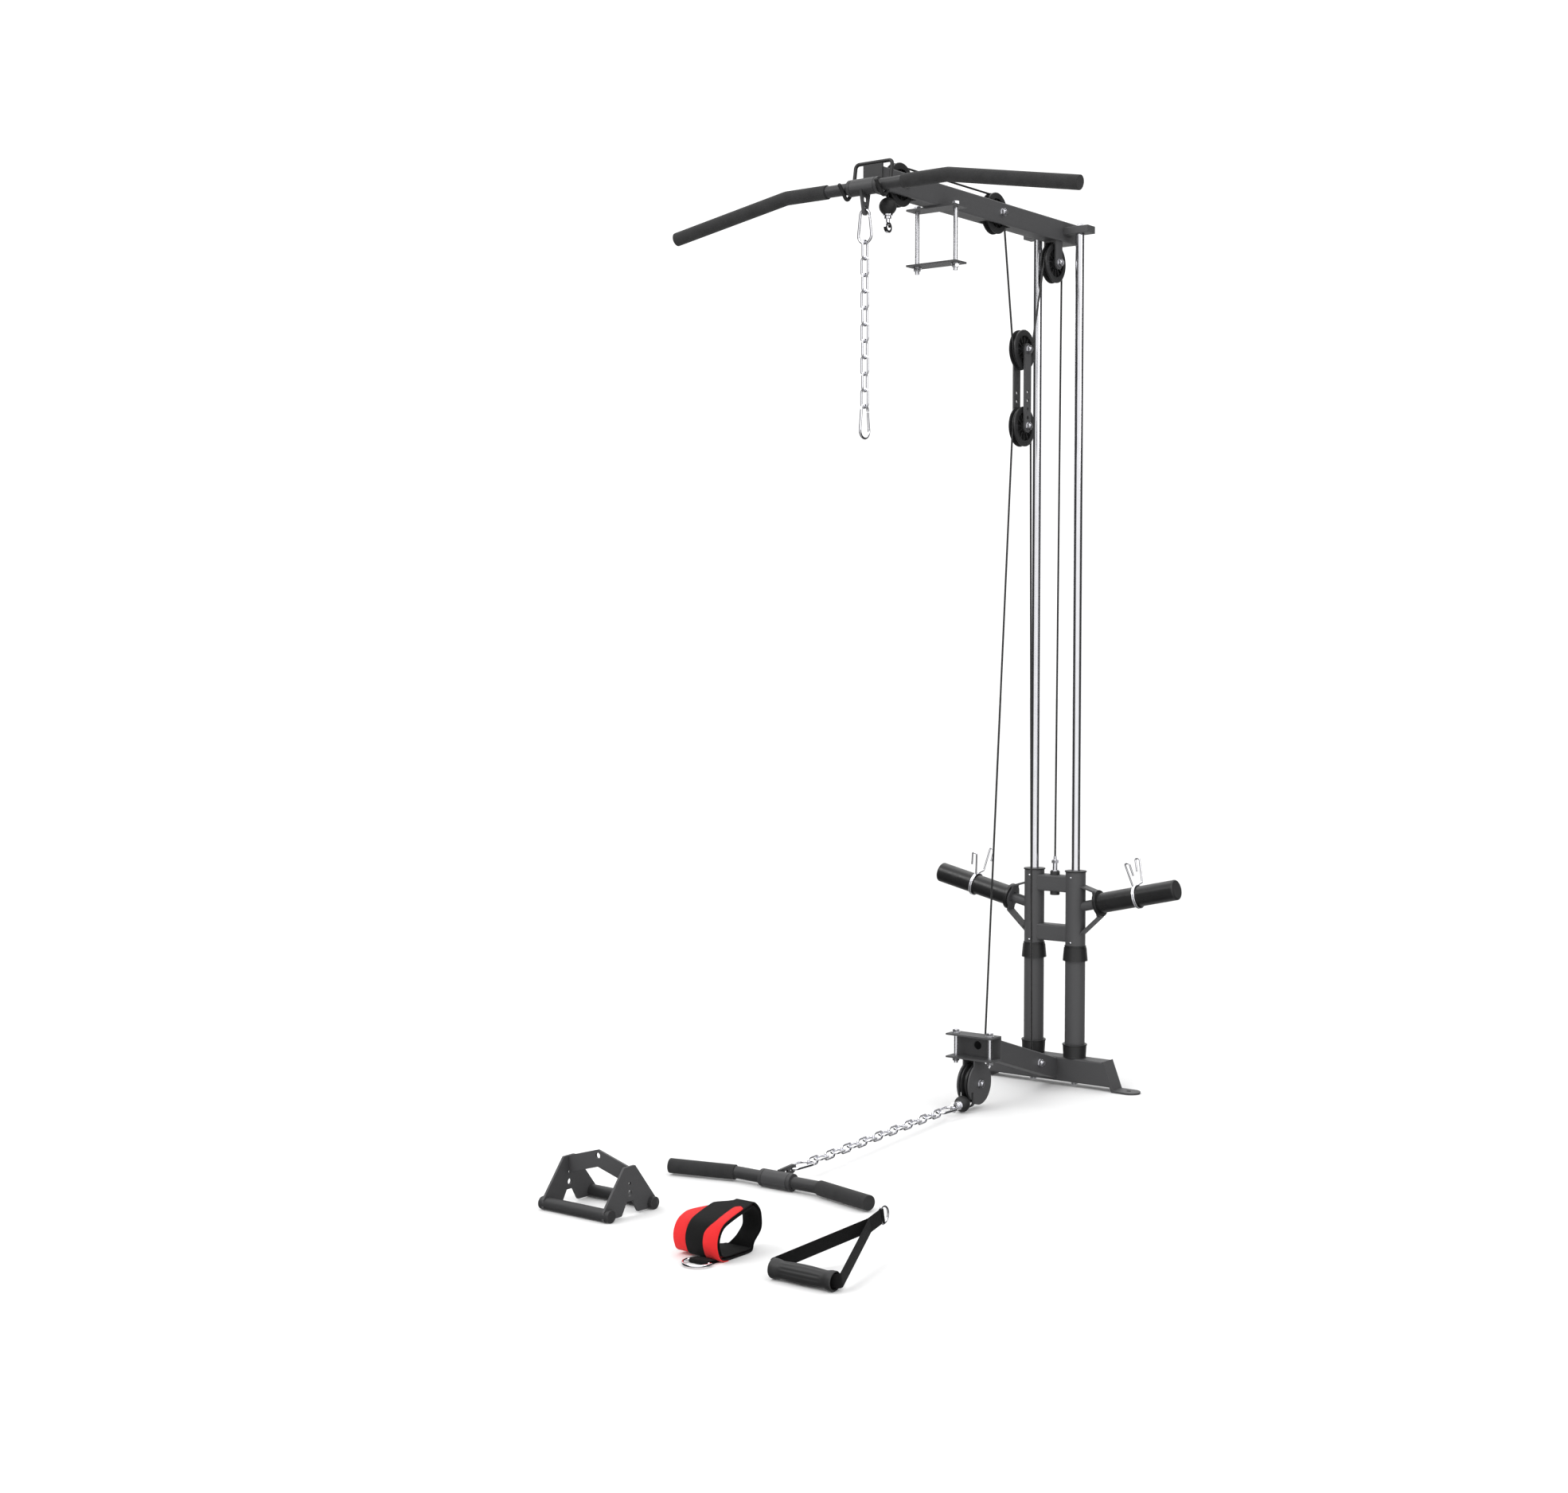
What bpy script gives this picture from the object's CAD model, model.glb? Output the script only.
"""Looks of the lat pulldown and low row attachment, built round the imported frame. Metres."""

import bpy
from math import asin, atan2, cos, hypot, pi, radians, sin, tan, tau
from mathutils import Matrix, Vector


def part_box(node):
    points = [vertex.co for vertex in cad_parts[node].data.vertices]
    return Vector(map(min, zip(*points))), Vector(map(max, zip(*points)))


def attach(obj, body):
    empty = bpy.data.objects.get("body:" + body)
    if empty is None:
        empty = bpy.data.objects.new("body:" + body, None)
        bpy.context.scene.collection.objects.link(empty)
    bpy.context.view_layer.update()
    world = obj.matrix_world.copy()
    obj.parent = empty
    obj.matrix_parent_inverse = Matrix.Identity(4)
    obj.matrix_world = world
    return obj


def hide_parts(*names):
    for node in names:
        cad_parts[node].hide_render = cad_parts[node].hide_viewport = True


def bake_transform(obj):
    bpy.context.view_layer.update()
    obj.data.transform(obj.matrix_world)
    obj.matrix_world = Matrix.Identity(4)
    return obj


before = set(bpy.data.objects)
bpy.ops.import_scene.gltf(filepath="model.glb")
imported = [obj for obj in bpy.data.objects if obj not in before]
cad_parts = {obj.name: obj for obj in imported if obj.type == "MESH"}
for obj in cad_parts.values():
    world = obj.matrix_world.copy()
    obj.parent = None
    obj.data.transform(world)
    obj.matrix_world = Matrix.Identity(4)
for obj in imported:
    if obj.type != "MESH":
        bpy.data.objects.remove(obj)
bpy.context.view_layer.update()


# ---------------------------------------------------------------- materials
class Shader:
    """A Principled material whose noises are laid out in the object's own metres."""

    def __init__(self, name, colour, rough, metal=0.0, **sockets):
        self.material = bpy.data.materials.new(name)
        self.material.use_nodes = True
        self.tree = self.material.node_tree
        self.shader = self.tree.nodes["Principled BSDF"]
        self.shader.inputs["Metallic"].default_value = metal
        self.shader.inputs["Roughness"].default_value = rough
        self.shader.inputs["Base Color"].default_value = (*colour, 1)
        for socket, value in sockets.items():
            self.shader.inputs[socket.replace("_", " ")].default_value = value
        self.coords = self.tree.nodes.new("ShaderNodeTexCoord")
        self.colour = colour
        self.height = None

    def link(self, out, into):
        self.tree.links.new(out, into)

    def node(self, kind, **values):
        made = self.tree.nodes.new(kind)
        for key, value in values.items():
            made.inputs[key.replace("_", " ")].default_value = value
        return made

    def noise(self, scale, detail=3.0, rough=0.55, stretch=(1, 1, 1), source="Object"):
        """Noise value socket; scale is in cells a metre."""
        mapping = self.tree.nodes.new("ShaderNodeMapping")
        mapping.inputs["Scale"].default_value = stretch
        self.link(self.coords.outputs[source], mapping.inputs["Vector"])
        made = self.node("ShaderNodeTexNoise", Scale=scale, Detail=detail, Roughness=rough)
        self.link(mapping.outputs["Vector"], made.inputs["Vector"])
        return made.outputs["Fac"]

    def ramp(self, value, low, high, start, end):
        """Map a value between two limits to numbers."""
        made = self.tree.nodes.new("ShaderNodeMapRange")
        for key, number in zip(("From Min", "From Max", "To Min", "To Max"), (low, high, start, end)):
            made.inputs[key].default_value = number
        self.link(value, made.inputs["Value"])
        return made.outputs["Result"]

    def tint(self, value, low, high, dark, light):
        """Mix two colours by a value, into the base colour on top of what is there."""
        mix = self.tree.nodes.new("ShaderNodeMix")
        mix.data_type = "RGBA"
        mix.inputs[6].default_value = (*dark, 1)
        mix.inputs[7].default_value = (*light, 1)
        self.link(self.ramp(value, low, high, 0.0, 1.0), mix.inputs[0])
        self.link(mix.outputs[2], self.shader.inputs["Base Color"])
        return mix

    def over(self, value, low, high, colour):
        """Lay one more colour over the base colour where a value is high."""
        links = self.shader.inputs["Base Color"].links
        below = links[0].from_socket
        mix = self.tree.nodes.new("ShaderNodeMix")
        mix.data_type = "RGBA"
        self.link(self.ramp(value, low, high, 0.0, 1.0), mix.inputs[0])
        self.link(below, mix.inputs[6])
        mix.inputs[7].default_value = (*colour, 1)
        self.link(mix.outputs[2], self.shader.inputs["Base Color"])

    def roughness(self, value, low, high, start, end):
        self.link(self.ramp(value, low, high, start, end), self.shader.inputs["Roughness"])

    def bump(self, value, distance, strength=1.0):
        """Relief of a height in metres, over any relief already there."""
        made = self.node("ShaderNodeBump", Strength=strength, Distance=distance)
        self.link(value, made.inputs["Height"])
        if self.height is not None:
            self.link(self.height, made.inputs["Normal"])
        self.height = made.outputs["Normal"]
        self.link(self.height, self.shader.inputs["Normal"])

    def edges(self):
        """Where the surface turns sharply outwards."""
        return self.tree.nodes.new("ShaderNodeNewGeometry").outputs["Pointiness"]


def grey(value):
    return (value, value, value * 1.04)


def powder_coat(name, value, grain=900.0):
    """Fine textured powder coat: a small orange peel, speckle, and edges rubbed a little brighter."""
    made = Shader(name, grey(value), 0.5)
    speckle = made.noise(grain, 2.0)
    cloud = made.noise(9.0, 4.0)
    made.tint(cloud, 0.3, 0.7, grey(value * 0.9), grey(value * 1.1))
    made.over(speckle, 0.56, 0.7, grey(value * 1.7))
    made.over(made.edges(), 0.52, 0.6, grey(value * 2.2))
    made.roughness(speckle, 0.3, 0.7, 0.42, 0.62)
    made.bump(speckle, 0.00025, 0.55)
    return made.material


def satin_paint(name, value):
    """Smooth satin paint with faint rub marks."""
    made = Shader(name, grey(value), 0.3)
    cloud = made.noise(14.0, 5.0, 0.6)
    made.tint(cloud, 0.3, 0.7, grey(value * 0.85), grey(value * 1.2))
    made.roughness(made.noise(60.0, 4.0, 0.65), 0.3, 0.7, 0.26, 0.4)
    made.bump(made.noise(350.0, 2.0), 0.0001, 0.3)
    return made.material


def plated(name, value, rough, spread, grain=300.0):
    """Chrome or zinc: a mirror with faint haze and polishing marks."""
    made = Shader(name, grey(value), rough, 1.0)
    haze = made.noise(30.0, 5.0, 0.6)
    made.tint(haze, 0.3, 0.7, grey(value * 0.94), grey(value))
    made.roughness(made.noise(grain, 3.0), 0.3, 0.75, rough, rough + spread)
    made.bump(made.noise(grain * 2, 2.0), 0.00003, 0.3)
    return made.material


def moulded(name, value, rough, grain=1200.0, depth=0.0001):
    """Moulded plastic or rubber with a fine spark-eroded grain."""
    made = Shader(name, grey(value), rough)
    fine = made.noise(grain, 2.0)
    made.tint(made.noise(12.0, 4.0), 0.3, 0.7, grey(value * 0.85), grey(value * 1.15))
    made.over(made.edges(), 0.54, 0.64, grey(value * 1.9))
    made.roughness(fine, 0.3, 0.7, rough - 0.07, rough + 0.08)
    made.bump(fine, depth, 0.6)
    return made.material


def foam_grip(name, value):
    """Foam rubber sleeve: matt, pitted, slightly mottled."""
    made = Shader(name, grey(value), 0.85, Sheen_Weight=0.06, Sheen_Roughness=0.5)
    pits = made.noise(520.0, 4.0, 0.7)
    made.tint(made.noise(45.0, 4.0, 0.6), 0.3, 0.7, grey(value * 0.8), grey(value * 1.25))
    made.over(pits, 0.58, 0.72, grey(value * 2.1))
    made.roughness(pits, 0.3, 0.7, 0.75, 0.95)
    made.bump(pits, 0.0005, 0.7)
    return made.material


def woven(name, dark, light, across, along, depth, sheen):
    """Webbing or cloth: diagonal ribs crossed by yarns, laid out on the strip's own length and width."""
    made = Shader(name, light, 0.8, Sheen_Weight=sheen, Sheen_Roughness=0.4, Specular_IOR_Level=0.12)
    waves = []
    for turn, scale in ((radians(38), across), (radians(-52), along)):
        mapping = made.tree.nodes.new("ShaderNodeMapping")
        mapping.inputs["Rotation"].default_value = (0, 0, turn)
        made.link(made.coords.outputs["UV"], mapping.inputs["Vector"])
        wave = made.node("ShaderNodeTexWave", Scale=scale, Distortion=0.25, Detail=1.0)
        made.link(mapping.outputs["Vector"], wave.inputs["Vector"])
        waves.append(wave.outputs["Fac"])
    made.tint(waves[0], 0.1, 0.9, dark, light)
    made.over(made.noise(900.0, 2.0), 0.62, 0.8, tuple(c * 1.6 + 0.004 for c in light))
    made.bump(waves[0], depth, 0.7)
    made.bump(waves[1], depth * 0.4, 0.6)
    return made.material


CHARCOAL = powder_coat("charcoal_powder_coat", 0.026)
DARK_COAT = powder_coat("dark_powder_coat", 0.014)
SATIN = satin_paint("satin_black", 0.011)
CHROME = plated("chrome", 0.92, 0.05, 0.07)
ROD_CHROME = plated("rod_chrome", 0.9, 0.1, 0.08)
ZINC = plated("zinc", 0.86, 0.22, 0.16, 500.0)
PLASTIC = moulded("black_plastic", 0.014, 0.42)
PULLEY = moulded("pulley_nylon", 0.014, 0.38, 700.0, 0.00006)
RUBBER = moulded("black_rubber", 0.015, 0.55, 800.0, 0.00012)
GRIP = foam_grip("foam_grip", 0.016)
SHEATH = moulded("cable_sheath", 0.012, 0.3, 500.0, 0.00005)
WEB = woven("black_webbing", grey(0.003), grey(0.011), 300.0, 900.0, 0.0006, 0.05)
LINING = woven("black_lining", grey(0.004), grey(0.009), 500.0, 900.0, 0.0003, 0.05)
RED = woven("red_cloth", (0.66, 0.016, 0.018), (0.86, 0.034, 0.036), 1400.0, 1400.0, 0.00015, 0.1)

LOOKS = {
    CHARCOAL: "top_beam beam_brackets rod_crossbar base_beam feet branch lower_bracket low_pulley_housing "
              "floating_straps carriage_tubes carriage_crossplates horn_gussets spacer_tubes "
              "v_handle_plates lat_bar row_bar lat_collar row_collar v_handle_grips",
    DARK_COAT: "bar_holder",
    SATIN: "horn_sleeves",
    ROD_CHROME: "guide_rods",
    CHROME: "lat_swivel row_swivel lat_chain row_chain spring_clip_right spring_clip_left lat_gate_upper "
            "lat_gate_lower row_gate_near row_gate_far ankle_ring handle_ring",
    ZINC: "frame_axles frame_bolts floating_axles carriage_fasteners rear_bearing floating_bearing",
    PLASTIC: "beam_end_plates spacer_cups carriage_bushes horn_caps",
    PULLEY: "front_pulley mid_pulley rear_pulley floating_upper_pulley floating_lower_pulley low_pulley",
    RUBBER: "lat_ball row_ball",
    GRIP: "lat_grips row_grips",
}
for look, names in LOOKS.items():
    for node in names.split():
        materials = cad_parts[node].data.materials
        materials.clear()
        materials.append(look)


# ---------------------------------------------------------------- mesh building
def centre(node):
    low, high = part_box(node)
    return (low + high) / 2


def mesh_piece(name, verts, faces, look, uvs=None, crease_angle=40):
    """Smooth-shaded mesh object with an optional UV for each vertex."""
    mesh = bpy.data.meshes.new(name)
    mesh.from_pydata([tuple(v) for v in verts], [], faces)
    if uvs:
        layer = mesh.uv_layers.new(name="UVMap")
        for loop in mesh.loops:
            layer.data[loop.index].uv = uvs[loop.vertex_index]
    mesh.materials.append(look)
    mesh.polygons.foreach_set("use_smooth", [True] * len(mesh.polygons))
    mesh.set_sharp_from_angle(angle=radians(crease_angle))
    piece = bpy.data.objects.new(name, mesh)
    bpy.context.scene.collection.objects.link(piece)
    return piece


def skin(rings, closed_along=False, capped=True):
    """Faces joining equal rings of vertices in a row."""
    count = len(rings[0])
    verts = [v for ring in rings for v in ring]
    faces = []
    rows = len(rings) if closed_along else len(rings) - 1
    for row in range(rows):
        a, b = row * count, (row + 1) % len(rings) * count
        faces += [(a + i, a + (i + 1) % count, b + (i + 1) % count, b + i) for i in range(count)]
    if capped and not closed_along:
        faces.append(tuple(range(count))[::-1])
        faces.append(tuple((len(rings) - 1) * count + i for i in range(count)))
    return verts, faces


# ---------------------------------------------------------------- cables, in the middle plane
ANCHOR = Vector((0, -0.110, 0.0704))  # bolt that holds the row cable's end, inside the sloping tube
EYE_R, EYE_BORE, EYE_HALF_W, EYE_SIDES = 0.010, 0.0051, 0.004, 48
CABLE_R = 0.0024
CABLE_SIDES = 14
BEND_STEP = radians(6)
STRAND_STEPS = 40
PITCH_R = 0.042


def cable_piece(name, points):
    """Round cable through points of the middle plane."""
    rings = []
    for index, (y, z) in enumerate(points):
        before, after = points[max(index - 1, 0)], points[min(index + 1, len(points) - 1)]
        heading = atan2(after[1] - before[1], after[0] - before[0])
        side = Vector((0, -sin(heading), cos(heading)))
        turns = [tau * k / CABLE_SIDES for k in range(CABLE_SIDES)]
        spokes = [Vector((1, 0, 0)) * cos(turn) + side * sin(turn) for turn in turns]
        rings.append([Vector((0, y, z)) + CABLE_R * spoke for spoke in spokes])
    return mesh_piece(name, *skin(rings), SHEATH)


def strand(start, end):
    """Straight run, as evenly spread points."""
    shares = [k / STRAND_STEPS for k in range(STRAND_STEPS + 1)]
    return [(start[0] + (end[0] - start[0]) * t, start[1] + (end[1] - start[1]) * t) for t in shares]


def cable_runs(stops):
    """Straight runs and wraps of a cable past (y, z, radius, turn) stops, in order."""
    legs = []
    for (y0, z0, r0, t0), (y1, z1, r1, t1) in zip(stops, stops[1:]):
        heading = atan2(z1 - z0, y1 - y0) - asin((t1 * r1 - t0 * r0) / hypot(y1 - y0, z1 - z0))
        left = (-sin(heading), cos(heading))
        start = (y0 - t0 * r0 * left[0], z0 - t0 * r0 * left[1])
        end = (y1 - t1 * r1 * left[0], z1 - t1 * r1 * left[1])
        legs.append((start, end))
    runs = []
    for index, (start, end) in enumerate(legs):
        runs.append(strand(start, end))
        if index + 1 < len(legs):
            y, z, r, turn = stops[index + 1]
            following = legs[index + 1][0]
            first = atan2(end[1] - z, end[0] - y)
            swing = (turn * (atan2(following[1] - z, following[0] - y) - first)) % tau
            steps = max(4, round(swing / BEND_STEP))
            angles = [first + turn * swing * k / steps for k in range(steps + 1)]
            runs.append([(y + r * cos(angle), z + r * sin(angle)) for angle in angles])
    return runs


def wheel(node, turn):
    middle = centre(node)
    return middle.y, middle.z, PITCH_R, turn


def stretch(piece, a, b, run):
    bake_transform(piece)


lat_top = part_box("lat_ball")[1].z
stud_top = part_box("carriage_fasteners")[1].z
lat_stops = [(centre("lat_ball").y, lat_top, 0, 0), wheel("front_pulley", -1), wheel("mid_pulley", -1),
             wheel("floating_upper_pulley", 1), wheel("rear_pulley", -1), (0, stud_top, 0, 0)]
lat_runs = cable_runs(lat_stops)
lift_run = lat_runs.pop()
split = round(STRAND_STEPS * 0.54)
lift_upper, lift_lower = lift_run[:split + 1], lift_run[split:]
lat_bodies = [("lat_stop", "frame"), "frame", "frame", "frame", ("frame", "floater"), "floater",
              ("floater", "frame"), "frame"]
row_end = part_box("row_ball")[1].y
row_stops = [(ANCHOR.y, ANCHOR.z + EYE_R, 0, 0), wheel("floating_lower_pulley", 1), wheel("low_pulley", -1),
             (row_end, centre("row_ball").z, 0, 0)]
row_runs = cable_runs(row_stops)
row_bodies = [("frame", "floater"), "floater", ("floater", "frame"), "frame", ("frame", "row_line")]


def hang_cable(prefix, runs, bodies):
    made = []
    for number, (run, body) in enumerate(zip(runs, bodies)):
        piece = cable_piece(f"{prefix}_{number}", run)
        if isinstance(body, tuple):
            stretch(piece, *body, run)
        else:
            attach(piece, body)
        made.append(piece)
    return made


for piece in hang_cable("lat_cable_run", lat_runs, lat_bodies):
    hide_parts("lat_cable")
for piece in hang_cable("row_cable_run", row_runs, row_bodies):
    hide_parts("row_cable")
lift_bodies = [("frame", "lift_strand"), ("lift_strand", "carriage")]
for piece in hang_cable("lift_cable_run", [lift_upper, lift_lower], lift_bodies):
    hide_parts("lift_cable")

eye_section = ((-EYE_HALF_W, EYE_BORE), (-EYE_HALF_W, EYE_R), (EYE_HALF_W, EYE_R), (EYE_HALF_W, EYE_BORE))
eye_rings = []
for k in range(EYE_SIDES):
    spoke = Vector((0, cos(tau * k / EYE_SIDES), sin(tau * k / EYE_SIDES)))
    eye_rings.append([ANCHOR + spoke * r + Vector((x, 0, 0)) for x, r in eye_section])
cable_eye = mesh_piece("row_cable_eye", *skin(eye_rings, closed_along=True), ZINC)
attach(cable_eye, "frame")
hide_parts("row_cable")


# ---------------------------------------------------------------- webbing and straps
EDGE_SIDES = 5


def rounded(points, radius, step=radians(9)):
    """2-D polyline with its corners turned to a radius; the ends stay."""
    out = [Vector(points[0])]
    for before, corner, after in zip(points, points[1:], points[2:]):
        corner = Vector(corner)
        back, on = (Vector(before) - corner).normalized(), (Vector(after) - corner).normalized()
        half = back.angle(on) / 2
        room = min((Vector(before) - corner).length, (Vector(after) - corner).length) * 0.48
        reach = min(radius / tan(half), room)
        r = reach * tan(half)
        middle = corner + (back + on).normalized() * r / sin(half)
        start, end = corner + back * reach - middle, corner + on * reach - middle
        sweep = start.angle_signed(end)
        steps = max(2, round(abs(sweep) / step))
        for k in range(steps + 1):
            out.append(middle + Matrix.Rotation(-sweep * k / steps, 2) @ start)
    out.append(Vector(points[-1]))
    return out


def spread(points, spacing):
    """The same line with extra points wherever two are far apart."""
    out = [points[0]]
    for a, b in zip(points, points[1:]):
        parts = max(1, round((b - a).length / spacing))
        out += [a + (b - a) * k / parts for k in range(1, parts + 1)]
    return out


def smooth_loop(points, spacing):
    """Closed smooth line through a few 2-D points."""
    out = []
    for k in range(len(points)):
        p0, p1, p2, p3 = (Vector(points[(k + j) % len(points)]) for j in (-1, 0, 1, 2))
        steps = max(2, round((p2 - p1).length / spacing))
        for step in range(steps):
            t = step / steps
            bend = (2 * p0 - 5 * p1 + 4 * p2 - p3) * t * t + (3 * p1 - p0 - 3 * p2 + p3) * t ** 3
            out.append(0.5 * (2 * p1 + (p2 - p0) * t + bend))
    return out


def band(name, path, thickness, limits, place, look, offset=0.0, closed=False):
    """Strip along a 2-D path. limits(share) gives its two edges at a share of its length; place maps
    (a, b, across). offset moves it off the path, to the left of the way it runs."""
    last = len(path) - 1
    total = sum((b - a).length for a, b in zip(path, path[1:]))
    rings, uvs, done = [], [], 0.0
    for index, point in enumerate(path):
        before = path[index - 1] if index or closed else point
        after = path[(index + 1) % len(path)] if index < last or closed else point
        if index:
            done += (point - path[index - 1]).length
        along = (after - before).normalized()
        normal = Vector((-along.y, along.x))
        low, high = limits(done / total)
        edge = min(thickness / 2, (high - low) / 2)
        ring = []
        for side, out in ((high - edge, 1), (low + edge, -1)):
            for k in range(EDGE_SIDES + 1):
                turn = pi * k / EDGE_SIDES - pi / 2
                ring.append((side + out * edge * cos(turn), offset + out * thickness / 2 * sin(turn)))
        rings.append([place(*(point + normal * lift), across) for across, lift in ring])
        uvs += [(done, across) for across, lift in ring]
    return mesh_piece(name, *skin(rings, closed), look, uvs)


def eased(share, start, end):
    """0 up to start, 1 from end on, smooth between."""
    t = min(1.0, max(0.0, (share - start) / (end - start)))
    return t * t * (3 - 2 * t)


def constant(low, high):
    return lambda share: (low, high)


def side_view(y, z, x):
    return Vector((x, y, z))


# ankle strap, from the middle of its underside forwards, up and back: (behind the front, height)
STRAP_OUTLINE = ((0.063, 0.002), (0.016, 0.005), (0.002, 0.022), (0.000, 0.044), (0.013, 0.065),
                 (0.041, 0.076), (0.093, 0.088), (0.107, 0.090), (0.123, 0.075), (0.128, 0.057),
                 (0.126, 0.037), (0.106, 0.018), (0.101, 0.005), (0.092, 0.002))
STRAP_W, BELT_W, BACK_W, FOOT_W = 0.106, 0.075, 0.041, 0.062
TAB_W, TONGUE_W, COVER = 0.033, 0.021, 0.004
PAD_T, BELT_T, LINING_T, TAB_T = 0.0042, 0.0026, 0.0018, 0.0018

strap_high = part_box("ankle_strap")[1]
strap_right = strap_high.x
strap_front = strap_high.y - 0.126
strap_line = smooth_loop([(strap_front + back, up) for back, up in STRAP_OUTLINE], 0.004)


def strap_width(share):
    """Full width up the front and over the top, narrow down the back, wider again on the underside."""
    front = STRAP_W - (STRAP_W - BELT_W) * eased(share, 0.40, 0.54)
    back = front - (BELT_W - BACK_W) * eased(share, 0.52, 0.60)
    underside = back + (FOOT_W - BACK_W) * eased(share, 0.85, 0.93)
    return underside - (FOOT_W - STRAP_W) * eased(share, 0.93, 1.0)


def belt_width(share):
    return min(BELT_W, strap_width(share))


def pad_limits(share):
    """As wide as the strap where the red shows, hidden between belt and lining elsewhere."""
    covered = COVER * eased(share, 0.48, 0.54) * (1 - eased(share, 0.96, 1.0))
    return strap_right - strap_width(share) + covered, strap_right - 3 * COVER


def lining_limits(share):
    return strap_right - strap_width(share) + 0.001, strap_right - 0.0006


def belt_limits(share):
    return strap_right - belt_width(share), strap_right


def tab_limits(share):
    """Wide up the front, then a tongue along the strap's edge with a round end."""
    outer = strap_right + 0.0004
    half = (TAB_W - (TAB_W - TONGUE_W) * eased(share, 0.42, 0.62)) / 2
    left = (1 - share) * tab_length
    reach = half if left > half else max(0.001, (half * half - (half - left) ** 2) ** 0.5)
    return outer - half - reach, outer - half + reach


pad = band("ankle_pad", strap_line, PAD_T, pad_limits, side_view, RED, -0.0034, True)
lining = band("ankle_lining", strap_line, LINING_T, lining_limits, side_view, LINING, -0.0062, True)
belt = band("ankle_webbing", strap_line, BELT_T, belt_limits, side_view, WEB, 0.0, True)
tab_line = strap_line[round(len(strap_line) * 0.09):round(len(strap_line) * 0.54)]
tab_length = sum((b - a).length for a, b in zip(tab_line, tab_line[1:]))
tab = band("ankle_tab", tab_line, TAB_T, tab_limits, side_view, RED, 0.0023)

ring_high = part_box("ankle_ring")[1]
RING_WIRE, RING_LOOP_HALF, RING_TURN_R = 0.005, 0.0205, 0.0038
ring_x, bar_z = centre("ankle_ring").x, centre("ankle_ring").z
bar_y = ring_high.y - RING_WIRE / 2
half_turn = [pi * k / 8 for k in range(9)]
loop_line = [Vector((strap_front + 0.030, 0.0012))]
loop_line += [Vector((bar_y - RING_TURN_R * sin(t), bar_z - RING_TURN_R * cos(t))) for t in half_turn]
loop_line += [Vector((strap_front + 0.012, 0.0046))]
loop_limits = constant(ring_x - RING_LOOP_HALF, ring_x + RING_LOOP_HALF)
ring_loop = band("ankle_ring_loop", spread(loop_line, 0.003), 0.0016, loop_limits, side_view, WEB)
for piece in (pad, lining, belt, tab, ring_loop):
    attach(piece, "ankle_cuff")
    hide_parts("ankle_strap")

# single handle: its webbing lies in a plane that rises towards the ring
HANDLE_RISE = radians(12.25)
HANDLE_WEB_W, HANDLE_WEB_T, RING_PLACE, JOIN_PLACE = 0.027, 0.0022, 0.244, 0.203
GRIP_END_R, GRIP_WAIST_R, GRIP_SWELL_R, GRIP_BORE_R = 0.018, 0.0158, 0.0175, 0.0152
FLUTES, FLUTE_DEPTH, GRIP_SIDES, GRIP_STEPS = 14, 0.0009, 84, 80

grip_mid = centre("handle_grip")
grip_low, grip_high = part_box("handle_grip")
grip_half = (grip_high.x - grip_low.x) / 2
slope = Vector((0, cos(HANDLE_RISE), sin(HANDLE_RISE)))
upright = Vector((0, -sin(HANDLE_RISE), cos(HANDLE_RISE)))


def handle_place(a, b, across):
    return grip_mid + Vector((a, 0, 0)) + slope * b + upright * across


web_limits = constant(-HANDLE_WEB_W / 2, HANDLE_WEB_W / 2)
for name, side in (("handle_webbing_right", 1), ("handle_webbing_left", -1)):
    corners = [(0.0, 0.0), (side * grip_half, 0.0), (side * (grip_half + 0.008), 0.006),
               (side * 0.0014, JOIN_PLACE), (side * 0.0014, RING_PLACE - 0.006)]
    line = spread(rounded(corners, 0.006), 0.004)
    piece = band(name, line, HANDLE_WEB_T, web_limits, handle_place, WEB)
    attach(piece, "single_handle")
    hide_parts("handle_webbing")
eye_turns = [radians(-60 + 300 * k / 20) for k in range(21)]
eye_line = [Vector((0.0034 * cos(t), RING_PLACE + 0.0034 * sin(t))) for t in eye_turns]
eye = band("handle_webbing_eye", eye_line, 0.002, web_limits, handle_place, WEB)
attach(eye, "single_handle")
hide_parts("handle_webbing")


def grip_profile(share):
    """Radius and flute depth along the grip: flared ends, a waist by each, a swollen fluted middle."""
    inward = min(share, 1 - share) * 2
    if inward < 0.34:
        fall = (GRIP_END_R - GRIP_WAIST_R) * eased(inward, 0.10, 0.32)
        lip = 0.0012 * (1 - eased(inward, 0.0, 0.03))
        return GRIP_END_R - fall - lip, 0.0
    swell = (inward - 0.34) / 0.66
    fluted = min(1.0, swell / 0.12)
    return GRIP_WAIST_R + (GRIP_SWELL_R - GRIP_WAIST_R) * sin(swell * pi / 2), FLUTE_DEPTH * fluted


def grip_ring(x, radius, depth):
    ring = []
    for k in range(GRIP_SIDES):
        angle = tau * k / GRIP_SIDES
        r = max(GRIP_BORE_R + 0.0003, radius - depth * (0.5 + 0.5 * cos(FLUTES * angle)))
        ring.append(Vector((x, grip_mid.y + r * cos(angle), grip_mid.z + r * sin(angle))))
    return ring


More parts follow.
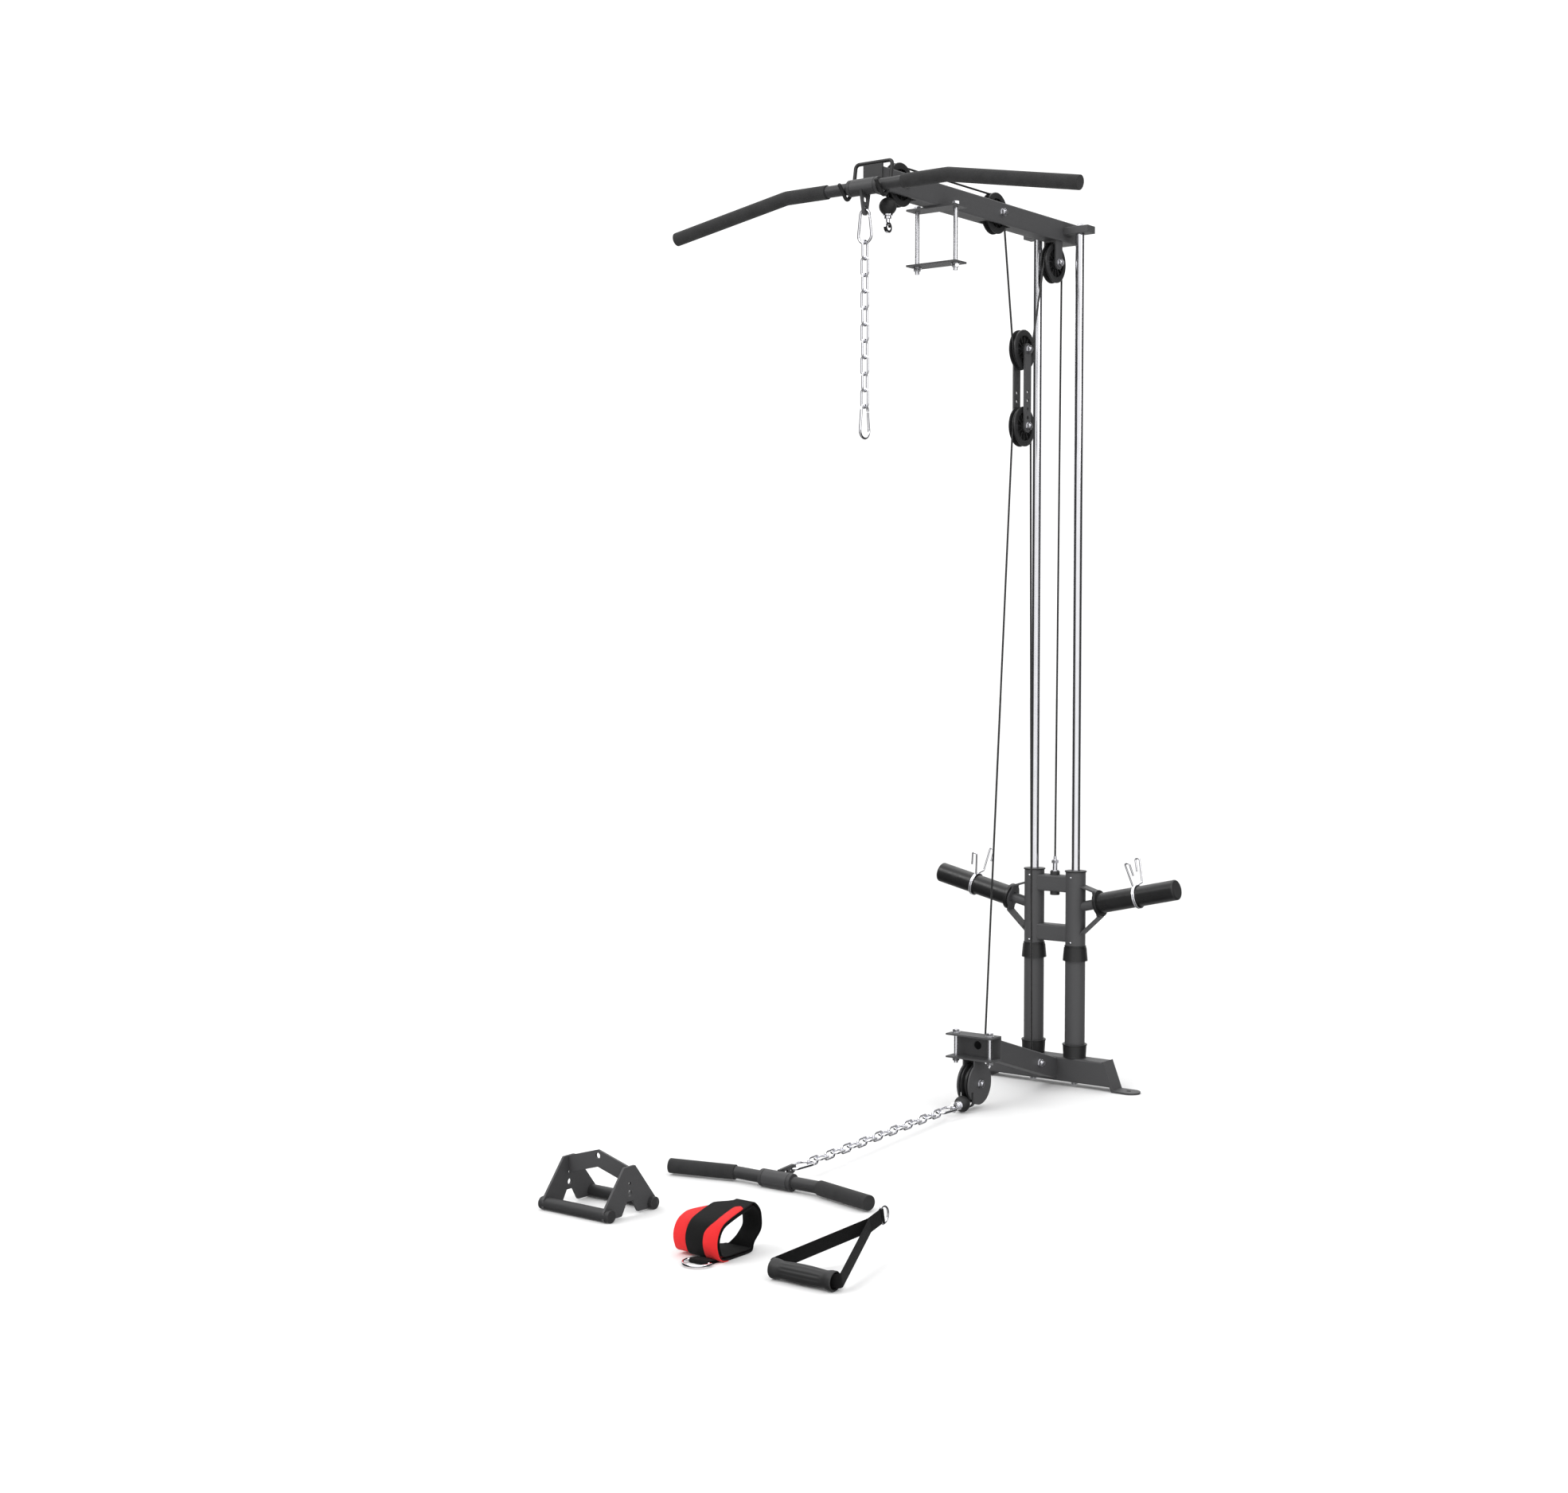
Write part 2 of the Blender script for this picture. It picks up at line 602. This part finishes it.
grip_shares = [k / GRIP_STEPS for k in range(GRIP_STEPS + 1)]
grip_rings = [grip_ring(grip_low.x + 2 * grip_half * share, *grip_profile(share)) for share in grip_shares]
for x in (grip_high.x - 0.0006, grip_high.x - 0.012, grip_low.x + 0.012, grip_low.x + 0.0006):
    ring = [Vector((0, GRIP_BORE_R * cos(tau * k / GRIP_SIDES), GRIP_BORE_R * sin(tau * k / GRIP_SIDES)))
            for k in range(GRIP_SIDES)]
    grip_rings.append([Vector((x, grip_mid.y, grip_mid.z)) + spoke for spoke in ring])
grip = mesh_piece("handle_grip_moulding", *skin(grip_rings, closed_along=True), RUBBER)
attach(grip, "single_handle_grip")
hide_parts("handle_grip")

# ---------------------------------------------------------------- floor, light, camera
FLOOR_SIZE = 60


def stage_material(name, value):
    made = Shader(name, (value, value, value), 0.9)
    made.tint(made.noise(0.7, 3.0), 0.3, 0.7, (value * 0.985,) * 3, (value,) * 3)
    return made.material


floor_mesh = bpy.data.meshes.new("floor")
half = FLOOR_SIZE / 2
floor_corners = [(-half, -half, 0), (half, -half, 0), (half, half, 0), (-half, half, 0)]
floor_mesh.from_pydata(floor_corners, [], [(0, 1, 2, 3)])
floor_mesh.materials.append(stage_material("pale_floor", 0.9))
floor = bpy.data.objects.new("floor", floor_mesh)
bpy.context.scene.collection.objects.link(floor)
floor.visible_glossy = False


def area_light(name, place, target, size, power):
    data = bpy.data.lights.new(name, "AREA")
    data.energy = power
    data.size = size
    light = bpy.data.objects.new(name, data)
    light.location = place
    light.rotation_euler = (Vector(target) - Vector(place)).to_track_quat("-Z", "Y").to_euler()
    bpy.context.scene.collection.objects.link(light)


area_light("key", (-2.0, -4.5, 4.5), (0, -0.6, 0.9), 2.5, 90)
area_light("side", (5.0, -1.0, 3.0), (0, -0.5, 1.0), 2.0, 30)


WORLD_LIGHT = 1.16
TENT_LIGHT, TENT_DARK, TENT_FLOOR = 1.0, 0.03, 0.45  # what shiny metal sees: walls, flags, floor
FLAG_COUNT, FLAG_TURN = 2.0, 0.47


def studio_world():
    """White surroundings. Shiny metal sees them broken by dark upright flags, as in a light tent."""
    world = bpy.data.worlds.new("studio")
    bpy.context.scene.world = world
    world.use_nodes = True
    tree = world.node_tree

    def math(kind, *values):
        made = tree.nodes.new("ShaderNodeMath")
        made.operation = kind
        for socket, value in zip(made.inputs, values):
            if isinstance(value, float):
                socket.default_value = value
            else:
                tree.links.new(value, socket)
        return made.outputs[0]

    def mapped(value, low, high, start, end):
        made = tree.nodes.new("ShaderNodeMapRange")
        made.interpolation_type = "SMOOTHSTEP"
        for key, number in zip(("From Min", "From Max", "To Min", "To Max"), (low, high, start, end)):
            made.inputs[key].default_value = number
        tree.links.new(value, made.inputs["Value"])
        return made.outputs["Result"]

    split = tree.nodes.new("ShaderNodeSeparateXYZ")
    tree.links.new(tree.nodes.new("ShaderNodeTexCoord").outputs["Generated"], split.inputs[0])
    x, y, z = split.outputs
    wave = math("SINE", math("ADD", math("MULTIPLY", math("ARCTAN2", y, x), FLAG_COUNT), FLAG_TURN))
    walls = mapped(wave, -0.4, 0.6, TENT_LIGHT, TENT_DARK)
    roofed = math("ADD", walls, mapped(z, 0.5, 0.75, 0.0, TENT_LIGHT))
    seen = math("MULTIPLY", roofed, mapped(z, -0.5, -0.1, TENT_FLOOR, 1.0))
    shiny = tree.nodes.new("ShaderNodeLightPath").outputs["Is Glossy Ray"]
    plain = math("MULTIPLY", math("SUBTRACT", 1.0, shiny), WORLD_LIGHT)
    strength = math("ADD", math("MULTIPLY", seen, shiny), plain)
    background = tree.nodes["Background"]
    background.inputs["Color"].default_value = (1, 1, 1, 1)
    tree.links.new(strength, background.inputs["Strength"])


studio_world()
bpy.context.scene.view_settings.view_transform = "Standard"

CAMERA_PLACE = (2.7206, -4.7479, 1.1189)
CAMERA_TURN, CAMERA_DIP = radians(36.936), radians(2.87)
camera_data = bpy.data.cameras.new("camera")
camera_data.lens = 50
camera_data.sensor_width = 36
camera = bpy.data.objects.new("camera", camera_data)
camera.location = CAMERA_PLACE
camera.rotation_euler = (pi / 2 - CAMERA_DIP, 0, CAMERA_TURN)
bpy.context.scene.collection.objects.link(camera)
bpy.context.scene.camera = camera
